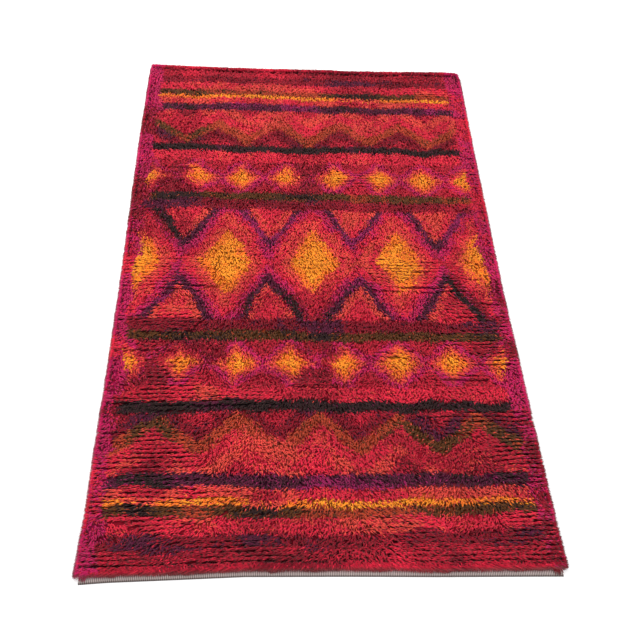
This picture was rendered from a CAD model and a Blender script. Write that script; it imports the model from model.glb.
"""The looks of a rya rug: its knotted wool pile yarn by yarn, its ground cloth and its end tapes.

Metres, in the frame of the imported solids. "Along" the rug is Y, from the near end at -Y, and the
knot rows run across it, along X.
"""

import math
from collections import namedtuple

import bpy
import numpy as np
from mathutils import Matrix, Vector


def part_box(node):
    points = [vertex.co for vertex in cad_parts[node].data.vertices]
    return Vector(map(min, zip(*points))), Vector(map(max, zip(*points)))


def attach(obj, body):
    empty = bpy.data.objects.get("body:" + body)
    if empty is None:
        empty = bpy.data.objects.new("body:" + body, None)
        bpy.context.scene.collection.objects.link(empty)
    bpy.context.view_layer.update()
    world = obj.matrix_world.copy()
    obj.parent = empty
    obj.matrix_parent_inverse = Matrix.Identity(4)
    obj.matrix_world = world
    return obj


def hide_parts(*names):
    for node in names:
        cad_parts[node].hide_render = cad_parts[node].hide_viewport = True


bl_info = {
    "name": "Rya rug",
    "version": (1, 0, 0),
    "blender": (4, 5, 0),
    "location": "3D View > Sidebar > Rug",
    "description": "Ties a rya rug's wool pile, ground and end tapes on its solids",
    "category": "Add Mesh",
}

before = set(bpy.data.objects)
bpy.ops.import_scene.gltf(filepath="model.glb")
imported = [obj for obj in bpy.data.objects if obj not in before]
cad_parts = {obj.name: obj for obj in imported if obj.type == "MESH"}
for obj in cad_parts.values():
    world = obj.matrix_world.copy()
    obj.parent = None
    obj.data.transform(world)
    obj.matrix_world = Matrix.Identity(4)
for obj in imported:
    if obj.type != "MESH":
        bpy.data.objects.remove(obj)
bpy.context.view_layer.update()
CLOTH_LOW, CLOTH_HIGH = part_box("pile_cloth")
NEAR_TAPE_LOW, NEAR_TAPE_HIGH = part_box("near_tape")
FAR_TAPE_LOW, FAR_TAPE_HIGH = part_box("far_tape")

PILE_WIDTH = 1.350
PILE_LENGTH = 2.040
LOCK_LENGTH = 0.020
TAPE_SHORT_OF_SIDE = 0.019
TAPE_CLEARANCE = 0.0003

# How far the tips of the pile reach to each side, from the near end to the far end
Side = namedtuple("Side", "y left right")
SIDES = (
    Side(-1.020, 0.6800, 0.6860),
    Side(-0.840, 0.6735, 0.6810),
    Side(-0.620, 0.6730, 0.6775),
    Side(-0.390, 0.6705, 0.6760),
    Side(-0.120, 0.6710, 0.6725),
    Side(0.180, 0.6740, 0.6750),
    Side(0.550, 0.6785, 0.6780),
    Side(0.930, 0.6765, 0.6850),
    Side(1.020, 0.6760, 0.6860),
)

# How far the pile and the tape reach beyond the short ends, from left to right
End = namedtuple("End", "x near_pile near_tape far_pile far_tape")
ENDS = (
    End(-0.675, 1.0360, 1.0485, 1.0280, 1.0410),
    End(-0.585, 1.0350, 1.0435, 1.0240, 1.0395),
    End(-0.395, 1.0310, 1.0390, 1.0200, 1.0350),
    End(-0.220, 1.0265, 1.0345, 1.0190, 1.0365),
    End(0.070, 1.0270, 1.0380, 1.0225, 1.0370),
    End(0.310, 1.0335, 1.0425, 1.0220, 1.0370),
    End(0.550, 1.0325, 1.0450, 1.0300, 1.0430),
    End(0.680, 1.0320, 1.0465, 1.0300, 1.0430),
)


def read_table(table, column, places):
    """One column of a table at many places along it, straight between its rows."""
    stations = [row[0] for row in table]
    return np.interp(places, stations, [getattr(row, column) for row in table])


def rug_middle():
    """Where the tables' own zero lies in the frame, worked out from the near tape's solid."""
    left = SIDES[0].left - TAPE_SHORT_OF_SIDE
    right = SIDES[0].right - TAPE_SHORT_OF_SIDE
    x = (NEAR_TAPE_LOW.x + NEAR_TAPE_HIGH.x) / 2 - (right - left) / 2
    y = NEAR_TAPE_LOW.y + float(read_table(ENDS, "near_tape", -left))
    return x, y


MIDDLE_X, MIDDLE_Y = rug_middle()


class RyaSizes(bpy.types.PropertyGroup):
    """The sizes of the knots, the yarn and the tapes."""

    row_pitch: bpy.props.FloatProperty(
        name="Row pitch",
        description="Distance from one row of knots to the next",
        default=0.0125,
        unit="LENGTH",
    )
    knot_pitch: bpy.props.FloatProperty(
        name="Knot pitch",
        description="Distance from one knot to the next along a row",
        default=0.0095,
        unit="LENGTH",
    )
    ends_in_a_knot: bpy.props.IntProperty(
        name="Yarn ends in a knot",
        description="How many yarn ends stand up from each knot",
        default=6,
    )
    yarn_width: bpy.props.FloatProperty(
        name="Yarn width",
        description="Width of one yarn end",
        default=0.0038,
        unit="LENGTH",
    )
    rim_pitch: bpy.props.FloatProperty(
        name="Rim pitch",
        description="Distance from one yarn end to the next in each layer that hangs over the rim",
        default=0.0009,
        unit="LENGTH",
    )
    pile_height: bpy.props.FloatProperty(
        name="Pile height",
        description="Height of the pile's top above the floor",
        default=CLOTH_HIGH.z - 0.0010,
        unit="LENGTH",
    )
    bed_height: bpy.props.FloatProperty(
        name="Bed height",
        description="Height of the packed lower part of the pile above the floor",
        default=0.0085,
        unit="LENGTH",
    )
    rib_pitch: bpy.props.FloatProperty(
        name="Rib pitch",
        description="Distance from one rib of the tape to the next",
        default=0.0050,
        unit="LENGTH",
    )
    zones: bpy.props.IntProperty(
        name="Zones of pile",
        description="How many pieces the rows of the pile are made in",
        default=8,
    )


def wool(name, red, green, blue):
    return bpy.props.FloatVectorProperty(
        name=name,
        description=f"Colour of the {name.lower()} yarn",
        subtype="COLOR",
        default=(red, green, blue),
        min=0.0,
        max=1.0,
    )


class RyaYarns(bpy.types.PropertyGroup):
    """The dyed colours of the wool."""

    crimson: wool("Crimson", 0.470, 0.010, 0.032)
    wine: wool("Wine", 0.250, 0.004, 0.018)
    cherry: wool("Cherry", 0.700, 0.018, 0.052)
    magenta: wool("Magenta", 0.540, 0.012, 0.104)
    violet: wool("Violet", 0.320, 0.012, 0.100)
    plum: wool("Plum", 0.095, 0.007, 0.034)
    coral: wool("Coral", 0.740, 0.068, 0.050)
    rust: wool("Rust", 0.450, 0.052, 0.020)
    orange: wool("Orange", 0.900, 0.200, 0.018)
    gold: wool("Gold", 0.980, 0.330, 0.022)
    olive: wool("Olive", 0.110, 0.036, 0.008)
    charcoal: wool("Charcoal", 0.022, 0.009, 0.010)


YARNS = tuple(RyaYarns.__annotations__)
YARN = {name: place for place, name in enumerate(YARNS)}

# Yarns that a dyer or weaver lets run into each other, for streaks inside one colour
BLENDS = {
    "crimson": ("cherry", "wine"),
    "wine": ("crimson", "plum"),
    "cherry": ("coral", "crimson"),
    "magenta": ("cherry", "wine"),
    "violet": ("magenta", "plum"),
    "plum": ("violet", "charcoal"),
    "coral": ("cherry", "crimson"),
    "rust": ("coral", "olive"),
    "orange": ("gold", "coral"),
    "gold": ("gold", "orange"),
    "olive": ("rust", "charcoal"),
    "charcoal": ("plum", "charcoal"),
}


def soft_noise(x, y, size, seed):
    """Smooth unevenness from -1 to 1 whose lumps are about this size."""
    side = 97
    lattice = np.random.default_rng(seed).uniform(-1, 1, (side, side))
    gx, gy = np.asarray(x) / size, np.asarray(y) / size
    x0, y0 = np.floor(gx).astype(int), np.floor(gy).astype(int)
    fx, fy = gx - x0, gy - y0
    fx, fy = fx * fx * (3 - 2 * fx), fy * fy * (3 - 2 * fy)
    x1, y1 = (x0 + 1) % side, (y0 + 1) % side
    x0, y0 = x0 % side, y0 % side
    low = lattice[x0, y0] * (1 - fx) + lattice[x1, y0] * fx
    high = lattice[x0, y1] * (1 - fx) + lattice[x1, y1] * fx
    return low * (1 - fy) + high * fy


def ease(value, start, end):
    """0 before start, 1 after end, and smooth between them."""
    share = np.clip((np.asarray(value) - start) / (end - start), 0, 1)
    return share * share * (3 - 2 * share)


# The design: bands across the rug, from either end to the middle
Band = namedtuple("Band", "depth motif colours")
BANDS = (
    Band(0.060, "plain", ("crimson",)),
    Band(0.040, "plain", ("wine",)),
    Band(0.045, "plain", ("cherry",)),
    Band(0.030, "plain", ("olive",)),
    Band(0.018, "plain", ("orange",)),
    Band(0.034, "plain", ("coral",)),
    Band(0.038, "plain", ("plum",)),
    Band(0.195, "zigzag", ("crimson", "coral", "cherry", "rust", "wine")),
    Band(0.035, "plain", ("charcoal",)),
    Band(0.050, "plain", ("cherry",)),
    Band(0.160, "lozenges", ("gold", "orange", "coral", "magenta", "crimson")),
    Band(0.035, "plain", ("olive",)),
    Band(0.045, "plain", ("wine",)),
    Band(
        0.235,
        "great_lozenges",
        ("gold", "gold", "orange", "coral", "cherry", "magenta", "plum", "coral", "cherry"),
    ),
)
BORDER = 0.066
ZIGZAG_LENGTH = 0.244
LOZENGE_LENGTH = 0.174
GREAT_LOZENGE_LENGTH = 0.305


def saw(x, length):
    """Up and down from 0 to 1 and back, once in each length, with a low at the rug's middle."""
    share = np.mod(x / length, 1.0)
    return 1 - np.abs(2 * share - 1)


def zigzag(x, y, depth, colours):
    stripe = depth / 4
    level = y + (depth / 2) * saw(x, ZIGZAG_LENGTH)
    return colours[np.floor(level / stripe).astype(int) % len(colours)]


def lozenges(x, y, depth, colours):
    across = np.abs(np.mod(x / LOZENGE_LENGTH, 1.0) - 0.5) * 2
    along = np.abs(y / depth - 0.5) * 2
    ring = np.floor((across + along) * 3.3).astype(int)
    return colours[np.clip(ring, 0, len(colours) - 1)]


def great_lozenges(x, y, depth, colours):
    """Half of each lozenge: the other half is the other end's, across the rug's middle."""
    across = np.abs(np.mod(x / GREAT_LOZENGE_LENGTH + 0.5, 1.0) - 0.5) * 2
    along = 1 - y / depth
    ring = np.floor((across + along) * 5.0).astype(int)
    return colours[np.clip(ring, 0, len(colours) - 1)]


def plain(x, y, depth, colours):
    return np.full(np.shape(x), colours[0])


MOTIFS = {"plain": plain, "zigzag": zigzag, "lozenges": lozenges, "great_lozenges": great_lozenges}


def design(x, y):
    """The yarn that the weaver's plan gives each place, as places in YARNS."""
    half = PILE_LENGTH / 2
    depth = sum(band.depth for band in BANDS)
    from_end = (half - np.abs(y)) * depth / half
    drawn = np.full(np.shape(x), YARN["crimson"])
    start = 0.0
    for band in BANDS:
        inside = (from_end >= start) & (from_end < start + band.depth)
        colours = np.array([YARN[name] for name in band.colours])
        local = from_end[inside] - start
        drawn[inside] = MOTIFS[band.motif](x[inside], local, band.depth, colours)
        start += band.depth
    border = np.abs(x) > PILE_WIDTH / 2 - BORDER
    drawn[border] = YARN["magenta"]
    return drawn


def dyed(x, y, draw):
    """The yarn tied at each place: the plan, with unsteady edges and dye that shifts in patches."""
    strayed_x = x + draw.normal(0, 0.0035, x.shape) + 0.008 * soft_noise(x, y, 0.05, 21)
    strayed_y = y + draw.normal(0, 0.0030, x.shape) + 0.008 * soft_noise(x, y, 0.09, 22)
    main = design(strayed_x, strayed_y)
    lighter = np.array([YARN[BLENDS[name][0]] for name in YARNS])
    darker = np.array([YARN[BLENDS[name][1]] for name in YARNS])
    lean = soft_noise(x, y, 0.17, 23) + 0.35 * soft_noise(x, y, 0.04, 24)
    roll = draw.uniform(0, 1, x.shape)
    to_lighter = 0.05 + 0.85 * ease(lean, 0.18, 0.75)
    to_darker = 0.05 + 0.85 * ease(-lean, 0.18, 0.75)
    drawn = np.where(roll < to_lighter, lighter[main], main)
    return np.where(roll > 1 - to_darker, darker[main], drawn)


def yarn_colours(yarns):
    return np.array([tuple(getattr(yarns, name)) for name in YARNS])


def place_on_rug(u, v, inset):
    """Points of the rug that are at u across and v along, each from -1 to 1, inside the tips."""
    y = 0.5 * PILE_LENGTH * v
    x = 0.5 * PILE_WIDTH * u
    left, right = read_table(SIDES, "left", y), read_table(SIDES, "right", y)
    near, far = read_table(ENDS, "near_pile", x), read_table(ENDS, "far_pile", x)
    x = u * (np.where(u < 0, left, right) - inset)
    y = v * (np.where(v < 0, near, far) - inset)
    return x, y


def row_wander(x, y):
    """How far a row of knots strays along the rug where it passes x."""
    fade = 1 - np.abs(2 * y / PILE_LENGTH) ** 12
    wide = 0.0055 * soft_noise(x, 2.5 * y, 0.19, 31)
    return fade * (wide + 0.0032 * soft_noise(x, 3 * y, 0.06, 32))


def parting(x, y):
    """How far the rows lie parted, from 0, closed over, to 1, with dark gaps between them."""
    sides = ease(np.abs(x), 0.25, 0.55) * (1 - 0.8 * ease(y, -0.5, 0.4))
    near = ease(-y, 0.87, 0.985)
    groups = 0.55 * soft_noise(0.35 * x, y, 0.075, 33) + 0.30 * soft_noise(0.6 * x, 5 * y, 0.13, 34)
    patches = groups * (1 - 0.4 * ease(y, -0.2, 0.6)) + 0.20 * soft_noise(x, y, 0.21, 35)
    return np.clip(0.06 + np.maximum(0.55 * sides, 0.85 * near) + patches, 0, 1)


def select_only(item):
    bpy.ops.object.select_all(action="DESELECT")
    item.select_set(True)
    bpy.context.view_layer.objects.active = item


KNEE = 0.58


def model_yarn_end():
    """One yarn end, modelled upright with a unit width and height: three-sided and pointed.

    It is widest at its knee. Its root is a point too, because it is deep in the pile.
    """
    bpy.ops.object.select_all(action="DESELECT")
    bpy.ops.mesh.primitive_cone_add(
        vertices=3, radius1=0.5, radius2=0, depth=1 - KNEE, location=(0, 0, (1 + KNEE) / 2)
    )
    item = bpy.context.object
    bpy.ops.object.transform_apply(location=True)
    for part in (*item.data.vertices, *item.data.edges, *item.data.polygons):
        part.select = False
    for face in item.data.polygons:
        face.select = face.normal.z < -0.9
    bpy.ops.object.mode_set(mode="EDIT")
    bpy.ops.mesh.select_mode(type="FACE")
    bpy.ops.mesh.extrude_region_move(TRANSFORM_OT_translate={"value": (0, 0, -KNEE)})
    bpy.ops.mesh.merge(type="CENTER")
    bpy.ops.mesh.select_all(action="SELECT")
    bpy.ops.mesh.normals_make_consistent(inside=False)
    bpy.ops.object.mode_set(mode="OBJECT")
    points = np.array([v.co for v in item.data.vertices])
    faces = [tuple(p.vertices) for p in item.data.polygons]
    bpy.data.objects.remove(item, do_unlink=True)
    return points, faces


YarnEnds = namedtuple("YarnEnds", "row x y root knee tip aside")


def knot_rows(sizes):
    """Where the rows of knots lie along the rug, from -1 to 1."""
    rows = int((PILE_LENGTH - 2 * LOCK_LENGTH) / sizes.row_pitch)
    return np.linspace(-0.994, 0.994, rows)


def tie_knots(sizes, draw):
    """The place of every yarn end: a row of knots at a time, each knot with a few ends."""
    inset = LOCK_LENGTH
    rows = knot_rows(sizes)
    knots = int((PILE_WIDTH - 2 * inset) / sizes.knot_pitch)
    v, u = np.meshgrid(rows, np.linspace(-0.992, 0.992, knots), indexing="ij")
    ends = sizes.ends_in_a_knot
    row = np.repeat(np.arange(len(rows)), knots * ends)
    u, v = np.repeat(u.ravel(), ends), np.repeat(v.ravel(), ends)
    u = u + draw.normal(0, 0.0048, u.shape)
    u = np.where(np.abs(u) > 0.998, np.sign(u) * draw.uniform(0.95, 0.998, u.shape), u)
    x, y = place_on_rug(u, v, inset)
    return row, u, v, x, y + row_wander(x, y)


def bent(root, tip, way, lie, top, aside, curl):
    """The knee that makes a yarn end pass its top on the way from root to tip."""
    knee = root + way * (lie * 0.24)[:, None] - aside * (1.2 * curl)
    rest = (1 - KNEE) ** 2 * root[:, 2] + KNEE**2 * tip[:, 2]
    knee[:, 2] = (top - rest) / (2 * KNEE * (1 - KNEE))
    return knee


def lay_rows(sizes, draw):
    """The yarn ends of the knot rows."""
    row, u, v, x, y = tie_knots(sizes, draw)
    count = len(x)
    parted = parting(x, y)
    level = np.zeros(count)
    # In a parted row the ends gather on a ridge, and in a closed one they fill the whole pitch
    offset = draw.uniform(-1, 1, count)
    y = y + offset * 0.5 * sizes.row_pitch * (1.12 - 0.50 * parted)
    x = x + draw.normal(0, 0.0015, count)
    # Down the rug where the pile is closed, along the row and outward where it is parted
    swirl = 0.75 * soft_noise(x, y, 0.075, 41) + 0.5 * soft_noise(x, y, 0.03, 42)
    stray = draw.normal(0, 1, count)
    along_row = ease(parted, 0.15, 0.75)
    outward = np.clip(x / 0.30, -1, 1) + 0.35 * soft_noise(x, y, 0.16, 45)
    way_x = (1 - along_row) * (1.5 * swirl + 0.5 * stray) + along_row * (1.4 * outward + 0.18 * stray)
    way_y = -0.8 * (1 - along_row) - along_row * (0.12 + 0.15 * draw.normal(0, 1, count))
    # Over the rim it hangs outward
    reach_x, reach_y = place_on_rug(np.sign(u), v, 0.0)[0], place_on_rug(u, np.sign(v), 0.0)[1]
    to_side, to_end = np.abs(reach_x - x), np.abs(reach_y - y)
    over_side = 1 - ease(to_side, LOCK_LENGTH - 0.002, LOCK_LENGTH + 0.022)
    over_end = 1 - ease(to_end, LOCK_LENGTH - 0.002, LOCK_LENGTH + 0.016)
    way_x = way_x * (1 - over_side) * (1 - 0.3 * over_end) + 1.3 * over_side * np.sign(x)
    hang = np.where(v < 0, 0.50, 1.0)
    way_y = way_y * (1 - over_end) * (1 - 0.5 * over_side) + hang * over_end * np.sign(v)
    size = np.hypot(way_x, way_y) + 1e-9
    way_x, way_y = way_x / size, way_y / size
    over = np.maximum(over_side, over_end)
    far = (over_end > 0.5) & (v > 0)
    # How high and how far
    top = sizes.pile_height * (0.90 + 0.06 * soft_noise(x, y, 0.11, 43))
    uneven = draw.uniform(-0.09, 0.06, count) * (1 - 0.6 * along_row)
    top = top * (1 + uneven) - 0.0065 * parted * offset**2
    top = top - 0.0030 * over_side * (~far) - 0.0012 * over_end * (~far)
    lie = draw.uniform(0.011, 0.025, count) + 0.006 * along_row
    limit = np.minimum(to_side / (np.abs(way_x) + 1e-6), to_end / (np.abs(way_y) + 1e-6))
    lie = np.where(over > 0.6, draw.uniform(0.86, 1.0, count) * limit, np.minimum(lie, 0.98 * limit))
    droop = draw.uniform(0.001, 0.006, count)
    tip_z = (top - droop) * (1 - over) + draw.uniform(0.008, 0.016, count) * over
    tip_z = np.where(far, draw.uniform(0.015, 0.021, count), tip_z)
    root = np.stack([x, y, level + 0.6 * sizes.bed_height], 1)
    way = np.stack([way_x, way_y, level], 1)
    aside = np.stack([-way_y, way_x, level], 1)
    curl = draw.normal(0, 0.0026, count)[:, None] * (1 - 0.5 * along_row[:, None])
    tip = root + way * lie[:, None] + aside * curl * (1 - over[:, None])
    round_corners(tip)
    tip[:, 2] = tip_z
    return YarnEnds(row, x, y, root, bent(root, tip, way, lie, top, aside, curl), tip, aside)


def round_the_rim(sizes, draw):
    """Places evenly round the rug's edge, across and along, each from -1 to 1."""
    around = 2 * (PILE_WIDTH + PILE_LENGTH)
    count = int(around / sizes.rim_pitch)
    place = (np.arange(count) + draw.uniform(0, 1, count)) * sizes.rim_pitch
    corners = np.array([0, PILE_WIDTH, PILE_WIDTH + PILE_LENGTH, around - PILE_LENGTH, around])
    u = np.interp(place, corners, [-1, 1, 1, -1, -1])
    v = np.interp(place, corners, [-1, -1, 1, 1, -1])
    return u, v


RimLayer = namedtuple("RimLayer", "top_low top_high tip_low tip_high")
RIM_LAYERS = (
    RimLayer(0.0080, 0.0120, 0.0055, 0.0080),
    RimLayer(0.0130, 0.0190, 0.0070, 0.0130),
)
FAR_LAYER = RimLayer(0.0190, 0.0235, 0.0150, 0.0200)

# How round the pile is at each corner
Corner = namedtuple("Corner", "side end radius")
CORNERS = (
    Corner(-1, -1, 0.010),
    Corner(1, -1, 0.018),
    Corner(-1, 1, 0.030),
    Corner(1, 1, 0.042),
)


def round_corners(tip):
    """Draws in the tips that lie beyond the round corners."""
    for corner in CORNERS:
        far_x, far_y = place_on_rug(np.array([1.0 * corner.side]), np.array([1.0 * corner.end]), 0.0)
        centre_x = far_x - corner.side * corner.radius
        centre_y = far_y - corner.end * corner.radius
        dx = (tip[:, 0] - centre_x) * corner.side
        dy = (tip[:, 1] - centre_y) * corner.end
        beyond = (dx > 0) & (dy > 0) & (np.hypot(dx, dy) > corner.radius)
        share = np.where(beyond, corner.radius / (np.hypot(dx, dy) + 1e-9), 1.0)
        tip[:, 0] = np.where(beyond, centre_x + corner.side * dx * share, tip[:, 0])
        tip[:, 1] = np.where(beyond, centre_y + corner.end * dy * share, tip[:, 1])


def gather(sizes, u, v):
    """Draws places along the sides to the ridges of the knot rows, as far as the rows are parted."""
    rows = knot_rows(sizes)
    pitch = np.ptp(rows) / (len(rows) - 1)
    nearest = np.round((v - rows[0]) / pitch) * pitch + rows[0]
    x, y = place_on_rug(u, v, LOCK_LENGTH)
    gathered = nearest + (v - nearest) * (1 - 0.35 * parting(x, y))
    on_side = np.abs(v) < np.max(rows)
    return np.where(on_side, gathered, v)


def lay_rim(sizes, draw, row):
    """The yarn ends that hang over the rim, a lower and an upper layer."""
    layers = []
    for number, layer in enumerate(RIM_LAYERS):
        u, v = round_the_rim(sizes, draw)
        count = len(u)
        if number == 1:
            v = gather(sizes, u, v)
        reach_x, reach_y = place_on_rug(u, v, 0.0)
        from_corner = (1 - np.abs(u)) * PILE_WIDTH / 2 + (1 - np.abs(v)) * PILE_LENGTH / 2
        at_corner = 1 - ease(from_corner, 0.0, 0.016)
        pulled = draw.uniform(0, 0.0025, count) + 0.002 * number
        on_end = np.abs(v) > 0.999
        near = v < -0.999
        pulled = pulled + 0.0012 * soft_noise(reach_x, reach_y, 0.012, 61 + number)
        pulled = pulled + 0.0016 * (1 + on_end) * soft_noise(reach_x, reach_y, 0.045, 63)
        sideways = 0.0015 + 0.014 * on_end + 0.018 * near
        sweep = sideways * soft_noise(reach_x, reach_y, 0.06, 64 + number)
        sweep = sweep + near * number * draw.normal(0.008, 0.007, count)
        pulled = pulled + near * number * draw.uniform(0, 0.006, count)
        cloth_x, cloth_y = place_on_rug(u, v, LOCK_LENGTH)
        inward_x = np.sign(u) * (PILE_WIDTH / 2 - LOCK_LENGTH)
        inward_y = np.sign(v) * (PILE_LENGTH / 2 - LOCK_LENGTH)
        root_x = np.where(np.abs(reach_x) > np.abs(inward_x), cloth_x, reach_x)
        root_y = np.where(np.abs(reach_y) > np.abs(inward_y), cloth_y, reach_y)
        deep = draw.uniform(0, 0.006 + 0.010 * near, count)
        out = np.stack([reach_x - root_x, reach_y - root_y, np.zeros(count)], 1)
        length = np.linalg.norm(out, axis=1)
        way = out / length[:, None]
        aside = np.stack([-way[:, 1], way[:, 0], np.zeros(count)], 1)
        root = np.stack([root_x, root_y, np.full(count, 0.0050)], 1) - way * deep[:, None]
        root[:, 1] += row_wander(root_x, root_y) * ~on_end
        lie = length + deep - pulled
        curl = draw.normal(0, 0.0022, count)[:, None]
        tip = root + way * lie[:, None] + aside * (curl + sweep[:, None] * (1 - at_corner[:, None]))
        round_corners(tip)
        far = (v > 0.999) & (number == 1)
        top = draw.uniform(layer.top_low, layer.top_high, count)
        tip_z = draw.uniform(layer.tip_low, layer.tip_high, count)
        top = np.where(far, draw.uniform(FAR_LAYER.top_low, FAR_LAYER.top_high, count), top)
        top = top + near * number * draw.uniform(0, 0.004, count)
        tip_z = np.where(far, draw.uniform(FAR_LAYER.tip_low, FAR_LAYER.tip_high, count), tip_z)
        tip[:, 2] = tip_z
        knee = bent(root, tip, way, lie, top, aside, curl)
        rows = np.full(count, row)
        layers.append(YarnEnds(rows, root[:, 0], root[:, 1], root, knee, tip, aside))
    return YarnEnds(*(np.concatenate(parts) for parts in zip(*layers)))


def bend_along(points, ends, width, turn):
    """The modelled yarn end's points, carried to every root and bent towards its tip."""
    t = points[None, :, 2, None]
    root, knee, tip = ends.root[:, None], ends.knee[:, None], ends.tip[:, None]
    aside = ends.aside[:, None]
    centre = (1 - t) ** 2 * root + 2 * t * (1 - t) * knee + t * t * tip
    heading = 2 * (1 - t) * (knee - root) + 2 * t * (tip - knee)
    heading /= np.linalg.norm(heading, axis=2, keepdims=True)
    side = aside - heading * (heading * aside).sum(2, keepdims=True)
    side /= np.linalg.norm(side, axis=2, keepdims=True)
    other = np.cross(heading, side)
    turn = turn[:, None]
    across = points[None, :, 0] * np.cos(turn) - points[None, :, 1] * np.sin(turn)
    upward = points[None, :, 0] * np.sin(turn) + points[None, :, 1] * np.cos(turn)
    spread = side * across[:, :, None] + other * upward[:, :, None]
    return centre + spread * width[:, None, None]


def mesh_of_copies(name, places, faces):
    """One mesh of many like shapes: places is copies by points by three."""
    copies, points = places.shape[:2]
    corners = np.concatenate([np.array(face) for face in faces])
    sizes = np.array([len(face) for face in faces])
    mesh = bpy.data.meshes.new(name)
    mesh.vertices.add(copies * points)
    mesh.vertices.foreach_set("co", places.astype(np.float32).ravel())
    offsets = np.arange(copies)[:, None]
    mesh.loops.add(copies * len(corners))
    loops = (corners[None] + offsets * points).astype(np.int32)
    mesh.loops.foreach_set("vertex_index", loops.ravel())
    starts = np.concatenate([[0], np.cumsum(sizes)[:-1]])
    mesh.polygons.add(copies * len(faces))
    first = (starts[None] + offsets * len(corners)).astype(np.int32)
    mesh.polygons.foreach_set("loop_start", first.ravel())
    mesh.polygons.foreach_set("use_smooth", np.ones(copies * len(faces), bool))
    mesh.update(calc_edges=True)
    return mesh


def lay_out_map(mesh, points, faces, copies):
    """A map on which every yarn end has a square of its own, with a column for each of its sides."""
    columns = math.ceil(math.sqrt(copies))
    corners = []
    for face in faces:
        middle = points[list(face)].mean(axis=0)
        facing = math.atan2(middle[1], middle[0])
        side = round(facing / math.tau * 3) % 3
        for corner in face:
            turned = math.atan2(points[corner][1], points[corner][0]) - facing
            turned = (turned + math.pi) % math.tau - math.pi
            on_knee = np.hypot(*points[corner][:2]) > 0.1
            across = 0.5 + 0.47 * math.copysign(1.0, turned) * on_knee
            corners.append(((side + across) / 3, points[corner][2]))
    corners = np.array(corners)
    cell = np.stack([np.arange(copies) % columns, np.arange(copies) // columns], 1)
    spread = (cell[:, None] + 0.03 + 0.94 * corners[None]) / columns
    layer = mesh.uv_layers.new(name="OFBake")
    layer.uv.foreach_set("vector", spread.astype(np.float32).ravel())


def paint_points(mesh, name, colours):
    """Stores a colour for each point, red, green and blue."""
    values = np.ones((len(colours), 4), np.float32)
    values[:, :3] = colours
    layer = mesh.color_attributes.new(name, "FLOAT_COLOR", "POINT")
    layer.data.foreach_set("color", values.ravel())


def note_points(mesh, name, values):
    """Stores a number for each point."""
    layer = mesh.attributes.new(name, "FLOAT", "POINT")
    layer.data.foreach_set("value", np.asarray(values, np.float32).ravel())


def new_material(name, roughness, sheen=0.0):
    """A material with a Principled shader, and its nodes, links and shader."""
    material = bpy.data.materials.new(name)
    material.use_nodes = True
    tree = material.node_tree
    shader = tree.nodes["Principled BSDF"]
    shader.inputs["Roughness"].default_value = roughness
    shader.inputs["Sheen Weight"].default_value = sheen
    shader.inputs["Sheen Roughness"].default_value = 0.45
    shader.inputs["Specular IOR Level"].default_value = 0.12
    return material, tree, shader


def add_node(tree, kind, **inputs):
    node = tree.nodes.new(kind)
    for name, value in inputs.items():
        node.inputs[name.replace("_", " ")].default_value = value
    return node


def read_attribute(tree, name):
    node = tree.nodes.new("ShaderNodeAttribute")
    node.attribute_name = name
    return node


def noise_on_object(tree, scale, detail=2.0):
    place = tree.nodes.new("ShaderNodeTexCoord")
    noise = add_node(tree, "ShaderNodeTexNoise", Scale=scale, Detail=detail)
    tree.links.new(place.outputs["Object"], noise.inputs["Vector"])
    return noise


def scaled_to(tree, source, low, high):
    """A source from 0 to 1, brought to the range from low to high."""
    node = add_node(tree, "ShaderNodeMapRange", To_Min=low, To_Max=high)
    tree.links.new(source, node.inputs["Value"])
    return node.outputs["Result"]


def product(tree, first, second):
    node = tree.nodes.new("ShaderNodeMath")
    node.operation = "MULTIPLY"
    tree.links.new(first, node.inputs[0])
    tree.links.new(second, node.inputs[1])
    return node.outputs[0]


def shaded_by(tree, colour, factor):
    """A colour multiplied by a number."""
    node = tree.nodes.new("ShaderNodeVectorMath")
    node.operation = "SCALE"
    tree.links.new(colour, node.inputs[0])
    tree.links.new(factor, node.inputs["Scale"])
    return node.outputs[0]


def add_bump(tree, shader, height, strength, distance):
    bump = add_node(tree, "ShaderNodeBump", Strength=strength, Distance=distance)
    tree.links.new(height, bump.inputs["Height"])
    tree.links.new(bump.outputs["Normal"], shader.inputs["Normal"])


def yarn_material():
    """Dyed wool yarn: each end in its own colour, darker at the root, with uneven fibres."""
    material, tree, shader = new_material("wool yarn", 0.9, 0.08)
    dye = read_attribute(tree, "dye")
    along = read_attribute(tree, "along")
    depth = tree.nodes.new("ShaderNodeValToRGB")
    depth.color_ramp.elements[0].position = 0.06
    depth.color_ramp.elements[0].color = (0.22, 0.22, 0.22, 1)
    depth.color_ramp.elements[1].position = 0.44
    depth.color_ramp.elements[1].color = (1, 1, 1, 1)
    tree.links.new(along.outputs["Fac"], depth.inputs["Fac"])
    fibres = noise_on_object(tree, 900.0, 3.0)
    uneven = scaled_to(tree, fibres.outputs["Fac"], 0.72, 1.28)
    shade = product(tree, depth.outputs["Color"], uneven)
    colour = shaded_by(tree, dye.outputs["Color"], shade)
    tip = add_node(tree, "ShaderNodeMapRange", From_Min=0.60, From_Max=1.0, To_Max=0.11)
    tree.links.new(along.outputs["Fac"], tip.inputs["Value"])
    worn = tree.nodes.new("ShaderNodeMix")
    worn.data_type = "RGBA"
    worn.inputs["B"].default_value = (0.90, 0.42, 0.34, 1)
    tree.links.new(tip.outputs["Result"], worn.inputs["Factor"])
    tree.links.new(colour, worn.inputs["A"])
    tree.links.new(worn.outputs["Result"], shader.inputs["Base Color"])
    add_bump(tree, shader, fibres.outputs["Fac"], 0.5, 0.0006)
    return material


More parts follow.
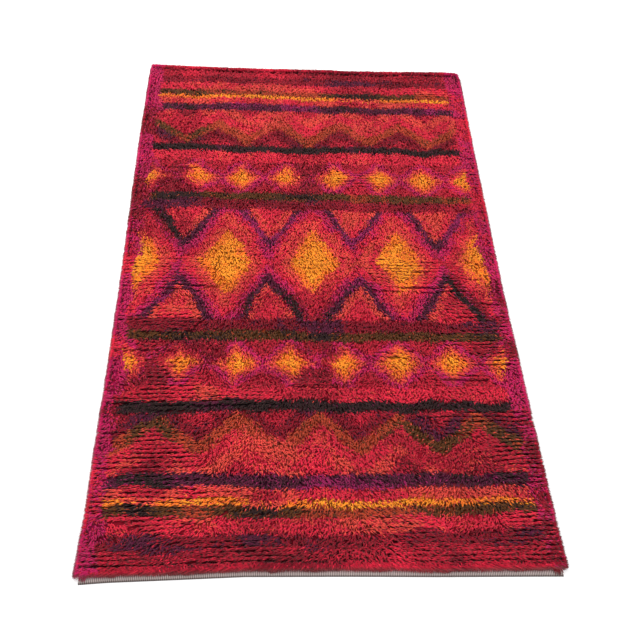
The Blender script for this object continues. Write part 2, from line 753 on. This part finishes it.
def bed_material():
    """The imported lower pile, seen only between the yarn ends, and darkest where the rows part."""
    material, tree, shader = new_material("packed lower pile", 0.95)
    dye = read_attribute(tree, "dye")
    parted = read_attribute(tree, "parted")
    clumps = noise_on_object(tree, 380.0, 4.0)
    uneven = scaled_to(tree, clumps.outputs["Fac"], 0.7, 1.3)
    shade = product(tree, scaled_to(tree, parted.outputs["Fac"], 0.75, 0.10), uneven)
    colour = shaded_by(tree, dye.outputs["Color"], shade)
    tree.links.new(colour, shader.inputs["Base Color"])
    add_bump(tree, shader, clumps.outputs["Fac"], 0.8, 0.002)
    return material


def weave_waves(tree, place, scale, direction):
    wave = add_node(tree, "ShaderNodeTexWave", Scale=scale, Distortion=0.6)
    wave.bands_direction = direction
    tree.links.new(place.outputs["Object"], wave.inputs["Vector"])
    return wave.outputs["Fac"]


def ground_material(row_pitch):
    """The underside: a plain weave of undyed wool, crossed by the backs of the knot rows."""
    material, tree, shader = new_material("woven ground", 0.9, 0.1)
    place = tree.nodes.new("ShaderNodeTexCoord")
    warp = weave_waves(tree, place, 150.0, "X")
    weft = weave_waves(tree, place, 110.0, "Y")
    height = product(tree, warp, weft)
    dye = read_attribute(tree, "dye")
    rows = weave_waves(tree, place, math.tau / row_pitch / 20, "Y")
    backs = add_node(tree, "ShaderNodeMapRange", From_Min=0.80, From_Max=0.95)
    tree.links.new(rows, backs.inputs["Value"])
    mix = tree.nodes.new("ShaderNodeMix")
    mix.data_type = "RGBA"
    mix.inputs["A"].default_value = (0.42, 0.33, 0.25, 1)
    tree.links.new(backs.outputs["Result"], mix.inputs["Factor"])
    tree.links.new(dye.outputs["Color"], mix.inputs["B"])
    shade = scaled_to(tree, height, 0.55, 1.1)
    colour = shaded_by(tree, mix.outputs["Result"], shade)
    tree.links.new(colour, shader.inputs["Base Color"])
    add_bump(tree, shader, height, 0.6, 0.0008)
    return material


def tape_material():
    """Ribbed cotton tape, paler on its ribs, with fine threads."""
    material, tree, shader = new_material("cotton tape", 0.85, 0.1)
    thread = read_attribute(tree, "thread")
    fibres = noise_on_object(tree, 1400.0, 2.0)
    shade = scaled_to(tree, fibres.outputs["Fac"], 0.86, 1.12)
    colour = shaded_by(tree, thread.outputs["Color"], shade)
    tree.links.new(colour, shader.inputs["Base Color"])
    add_bump(tree, shader, fibres.outputs["Fac"], 0.35, 0.0003)
    return material


def mesh_points(mesh):
    points = np.empty(len(mesh.vertices) * 3)
    mesh.vertices.foreach_get("co", points)
    return points.reshape(-1, 3)


def move_points(mesh, points):
    mesh.vertices.foreach_set("co", points.astype(np.float32).ravel())
    mesh.update()


class RYA_OT_cloth(bpy.types.Operator):
    """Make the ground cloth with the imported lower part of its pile"""

    bl_idname = "rya.cloth"
    bl_label = "Ground cloth"

    def execute(self, context):
        sizes = context.scene.rya_sizes
        across = 60
        along = 2 * int((PILE_LENGTH - 2 * LOCK_LENGTH) / sizes.row_pitch / 2)
        bpy.ops.object.select_all(action="DESELECT")
        bpy.ops.mesh.primitive_grid_add(x_subdivisions=across, y_subdivisions=along, size=2)
        cloth = context.object
        cloth.name = "ground_cloth"
        cloth.data.name = "ground_cloth"
        bpy.ops.object.mode_set(mode="EDIT")
        bpy.ops.mesh.select_all(action="SELECT")
        bpy.ops.mesh.extrude_region_move(TRANSFORM_OT_translate={"value": (0, 0, -1)})
        bpy.ops.mesh.select_all(action="SELECT")
        bpy.ops.mesh.normals_make_consistent(inside=False)
        bpy.ops.object.mode_set(mode="OBJECT")
        self.shape(cloth, sizes)
        self.colour(cloth, context.scene.rya_yarns, sizes.row_pitch)
        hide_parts("pile_cloth")
        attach(cloth, "root")
        return {"FINISHED"}

    def shape(self, cloth, sizes):
        """Gives the slab the rug's outline, an uneven top and an underside stepped over the tapes."""
        flat = mesh_points(cloth.data)
        u, v = flat[:, 0], flat[:, 1]
        beneath = flat[:, 2] < -0.5
        x, y = place_on_rug(u, v, LOCK_LENGTH)
        y = y + row_wander(x, y) * ~beneath
        rim = np.maximum(ease(np.abs(u), 0.97, 1), ease(np.abs(v), 0.98, 1))
        top = sizes.bed_height * (1 - 0.30 * rim) + 0.0014 * soft_noise(x, y, 0.03, 51)
        above_tape = NEAR_TAPE_HIGH.z + TAPE_CLEARANCE
        over_near = y + MIDDLE_Y < NEAR_TAPE_HIGH.y + sizes.row_pitch
        over_far = y + MIDDLE_Y > FAR_TAPE_LOW.y - sizes.row_pitch
        bottom = np.where(over_near | over_far, above_tape, 0.0)
        z = np.where(beneath, bottom, top)
        move_points(cloth.data, np.stack([x + MIDDLE_X, y + MIDDLE_Y, z], 1))

    def colour(self, cloth, yarns, row_pitch):
        mesh = cloth.data
        mesh.materials.append(bed_material())
        mesh.materials.append(ground_material(row_pitch))
        points = mesh_points(mesh)
        draw = np.random.default_rng(52)
        x, y = points[:, 0] - MIDDLE_X, points[:, 1] - MIDDLE_Y
        paint_points(mesh, "dye", yarn_colours(yarns)[dyed(x, y, draw)])
        note_points(mesh, "parted", parting(x, y))
        for face in mesh.polygons:
            face.material_index = 1 if face.normal.z < -0.5 else 0
        select_only(cloth)
        bpy.ops.object.shade_smooth_by_angle(angle=math.radians(60))


class RYA_OT_pile(bpy.types.Operator):
    """Tie the wool pile, row by row, in a few pieces from the near end to the far end"""

    bl_idname = "rya.pile"
    bl_label = "Wool pile"

    def execute(self, context):
        sizes = context.scene.rya_sizes
        palette = yarn_colours(context.scene.rya_yarns)
        draw = np.random.default_rng(40)
        yarn_end = model_yarn_end()
        material = yarn_material()
        ends = lay_rows(sizes, draw)
        rows = ends.row.max() + 1
        for zone in range(sizes.zones):
            first = zone * rows // sizes.zones
            last = (zone + 1) * rows // sizes.zones
            here = (ends.row >= first) & (ends.row < last)
            zone_ends = YarnEnds(*(part[here] for part in ends))
            self.make(f"pile_rows_{zone + 1}", zone_ends, yarn_end, sizes, palette, material, draw)
        rim = lay_rim(sizes, draw, rows)
        self.make("pile_rim", rim, yarn_end, sizes, palette, material, draw)
        return {"FINISHED"}

    def make(self, name, ends, yarn_end, sizes, palette, material, draw):
        """One piece of pile, from the places of its yarn ends."""
        points, faces = yarn_end
        count = len(ends.x)
        width = sizes.yarn_width * draw.uniform(0.80, 1.15, count)
        turn = draw.uniform(0, math.tau, count)
        tone = 1 + 0.09 * draw.normal(0, 1, count) + 0.14 * soft_noise(ends.x, 2 * ends.y, 0.11, 44)
        dye = np.clip(palette[dyed(ends.x, ends.y, draw)] * tone[:, None], 0, 1)
        places = bend_along(points, ends, width, turn) + np.array([MIDDLE_X, MIDDLE_Y, 0.0])
        mesh = mesh_of_copies(name, places, faces)
        lay_out_map(mesh, points, faces, count)
        paint_points(mesh, "dye", np.repeat(dye, len(points), axis=0))
        note_points(mesh, "along", np.tile(points[:, 2], count))
        mesh.materials.append(material)
        piece = bpy.data.objects.new(name, mesh)
        bpy.context.collection.objects.link(piece)
        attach(piece, "root")


class RYA_OT_tapes(bpy.types.Operator):
    """Weave the ribbed cotton tape under each short end"""

    bl_idname = "rya.tapes"
    bl_label = "End tapes"

    # The tape's lanes, from its hidden edge to its outer one: place, rise and colour
    LANES = (
        (0.00, 0.0000, (0.60, 0.36, 0.36)),
        (0.72, 0.0000, (0.66, 0.42, 0.42)),
        (0.84, 0.0001, (0.72, 0.58, 0.56)),
        (0.91, 0.0001, (0.62, 0.52, 0.49)),
        (0.95, -0.0001, (0.28, 0.22, 0.21)),
        (1.00, -0.0009, (0.12, 0.09, 0.08)),
    )
    GROOVE_DEPTH = 0.0008
    GROOVE_SHADE = 0.10

    def execute(self, context):
        sizes = context.scene.rya_sizes
        material = tape_material()
        near = (NEAR_TAPE_LOW, NEAR_TAPE_HIGH)
        far = (FAR_TAPE_LOW, FAR_TAPE_HIGH)
        self.weave("near_tape_weave", "near_tape", -1, near, sizes, material)
        self.weave("far_tape_weave", "far_tape", 1, far, sizes, material)
        return {"FINISHED"}

    def weave(self, name, column, end, box, sizes, material):
        low, high = box
        ribs = round((high.x - low.x) / sizes.rib_pitch)
        lanes = len(self.LANES) - 1
        bpy.ops.object.select_all(action="DESELECT")
        bpy.ops.mesh.primitive_grid_add(x_subdivisions=2 * ribs, y_subdivisions=lanes, size=2)
        tape = bpy.context.object
        tape.name = name
        tape.data.name = name
        self.close(tape)
        flat = mesh_points(tape.data)
        beneath = flat[:, 2] < -0.5
        groove = np.round((flat[:, 0] + 1) * ribs).astype(int) % 2 == 1
        lane = np.round((flat[:, 1] * end + 1) / 2 * lanes).astype(int)
        share, rise, colour = (np.array([row[part] for row in self.LANES])[lane] for part in range(3))
        x = low.x + (high.x - low.x) * (flat[:, 0] + 1) / 2
        outer = read_table(ENDS, column, x - MIDDLE_X) + MIDDLE_Y * end
        inner = (NEAR_TAPE_HIGH.y if end < 0 else FAR_TAPE_LOW.y) * end
        y = end * (inner + (outer - inner) * share)
        top = high.z - 0.0003 + rise - self.GROOVE_DEPTH * groove
        z = np.where(beneath, 0.0, top)
        move_points(tape.data, np.stack([x, y, z], 1))
        shade = np.where(groove & ~beneath, self.GROOVE_SHADE, 1.0)
        paint_points(tape.data, "thread", colour * shade[:, None])
        tape.data.materials.append(material)
        select_only(tape)
        bpy.ops.object.shade_smooth_by_angle(angle=math.radians(50))
        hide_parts(column)
        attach(tape, "root")

    def close(self, tape):
        """Extrudes the flat grid into a closed slab."""
        select_only(tape)
        bpy.ops.object.mode_set(mode="EDIT")
        bpy.ops.mesh.select_all(action="SELECT")
        bpy.ops.mesh.extrude_region_move(TRANSFORM_OT_translate={"value": (0, 0, -1)})
        bpy.ops.mesh.select_all(action="SELECT")
        bpy.ops.mesh.normals_make_consistent(inside=False)
        bpy.ops.object.mode_set(mode="OBJECT")


class RYA_OT_soft_goods(bpy.types.Operator):
    """Say which pieces are sheets of cloth, and what goes with them"""

    bl_idname = "rya.soft_goods"
    bl_label = "Declare the cloth"

    def execute(self, context):
        return {"FINISHED"}


class RYA_OT_stage(bpy.types.Operator):
    """Set the pale floor, the soft lights and the camera at the photograph's place"""

    bl_idname = "rya.stage"
    bl_label = "Stage"

    def execute(self, context):
        self.floor()
        self.lights(context)
        self.camera(context)
        return {"FINISHED"}

    def floor(self):
        bpy.ops.object.select_all(action="DESELECT")
        bpy.ops.mesh.primitive_plane_add(size=30, location=(0, 0, 0))
        floor = bpy.context.object
        floor.name = "floor"
        floor.location = (0, 0, 0)
        material, tree, shader = new_material("white floor", 0.9)
        shader.inputs["Base Color"].default_value = (0.93, 0.93, 0.93, 1)
        floor.data.materials.append(material)

    def lights(self, context):
        world = bpy.data.worlds.new("white room")
        world.use_nodes = True
        sky = world.node_tree.nodes["Background"]
        sky.inputs["Color"].default_value = (1, 1, 1, 1)
        sky.inputs["Strength"].default_value = 0.75
        context.scene.world = world
        for name, place, size, power in (
            ("softbox far left", (-1.6, 1.8, 2.6), 1.6, 70),
            ("softbox above", (0.4, -0.2, 3.4), 2.2, 60),
        ):
            lamp = bpy.data.lights.new(name, "AREA")
            lamp.shape = "SQUARE"
            lamp.size = size
            lamp.energy = power
            item = bpy.data.objects.new(name, lamp)
            item.location = place
            item.rotation_euler = (-Vector(place)).to_track_quat("-Z", "Y").to_euler()
            context.collection.objects.link(item)

    def camera(self, context):
        settings = bpy.data.cameras.new("camera")
        settings.sensor_width = 36
        settings.lens = 34.13
        settings.shift_x = 0.031
        settings.clip_start = 0.01
        camera = bpy.data.objects.new("camera", settings)
        camera.location = (-0.166 + MIDDLE_X, -1.241 + MIDDLE_Y, 1.782)
        camera.rotation_euler = [math.radians(angle) for angle in (29.56, -3.01, -1.20)]
        context.collection.objects.link(camera)
        context.scene.camera = camera
        context.scene.view_settings.view_transform = "Standard"


class RYA_PT_rug(bpy.types.Panel):
    """Lists the steps that make the rug"""

    bl_idname = "RYA_PT_rug"
    bl_label = "Rya rug"
    bl_space_type = "VIEW_3D"
    bl_region_type = "UI"
    bl_category = "Rug"

    def draw(self, context):
        for step in STEPS:
            self.layout.operator(step.bl_idname)
        for group in (context.scene.rya_sizes, context.scene.rya_yarns):
            for name in group.bl_rna.properties.keys():
                if name not in ("rna_type", "name"):
                    self.layout.prop(group, name)


STEPS = (RYA_OT_cloth, RYA_OT_pile, RYA_OT_tapes, RYA_OT_soft_goods, RYA_OT_stage)
CLASSES = (RyaSizes, RyaYarns, *STEPS, RYA_PT_rug)


def register():
    for item in CLASSES:
        bpy.utils.register_class(item)
    bpy.types.Scene.rya_sizes = bpy.props.PointerProperty(type=RyaSizes)
    bpy.types.Scene.rya_yarns = bpy.props.PointerProperty(type=RyaYarns)


def unregister():
    del bpy.types.Scene.rya_yarns
    del bpy.types.Scene.rya_sizes
    for item in reversed(CLASSES):
        bpy.utils.unregister_class(item)


def main():
    register()
    bpy.ops.rya.cloth()
    bpy.ops.rya.pile()
    bpy.ops.rya.tapes()
    bpy.ops.rya.soft_goods()
    bpy.ops.rya.stage()
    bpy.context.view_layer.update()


if __name__ == "__main__":
    main()
